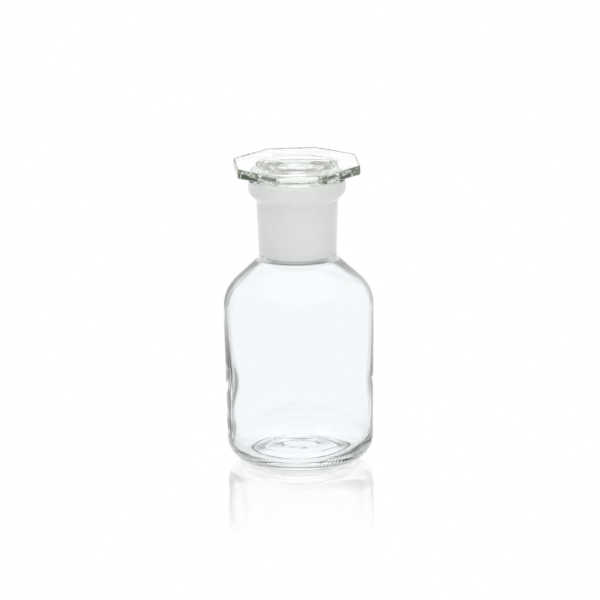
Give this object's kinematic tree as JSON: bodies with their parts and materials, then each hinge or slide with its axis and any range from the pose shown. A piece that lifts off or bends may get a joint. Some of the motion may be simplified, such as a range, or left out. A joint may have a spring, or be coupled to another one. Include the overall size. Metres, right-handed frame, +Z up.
{
  "type": "reagent bottle",
  "caption": "Clear glass wide-neck laboratory bottle, with a hollow octagonal flat-headed glass stopper that lifts out of its ground neck.",
  "frame": {"origin": "centre of the ring that the bottle stands on, at floor level", "axes": "+Z up along the axis of the bottle, neck and stopper; X and Y each pass through the middle of two opposite sides of the octagonal head"},
  "size_m": [0.0722, 0.0722, 0.1463],
  "materials": {
    "bottle_glass": "clear and fire-polished, with a fine-ground white band inside the neck",
    "stopper_glass": "clear and pressed, faintly green on edge, with a fine-ground white cone"
  },
  "bodies": {
    "bottle": {"bottle": "bottle_glass"},
    "stopper": {"stopper": "stopper_glass"}
  },
  "joints": [
    {"name": "stopper_lift", "type": "slide", "parent": "bottle", "child": "stopper", "axis": [0, 0, 1], "range_m": [0, 0.08]}
  ]
}
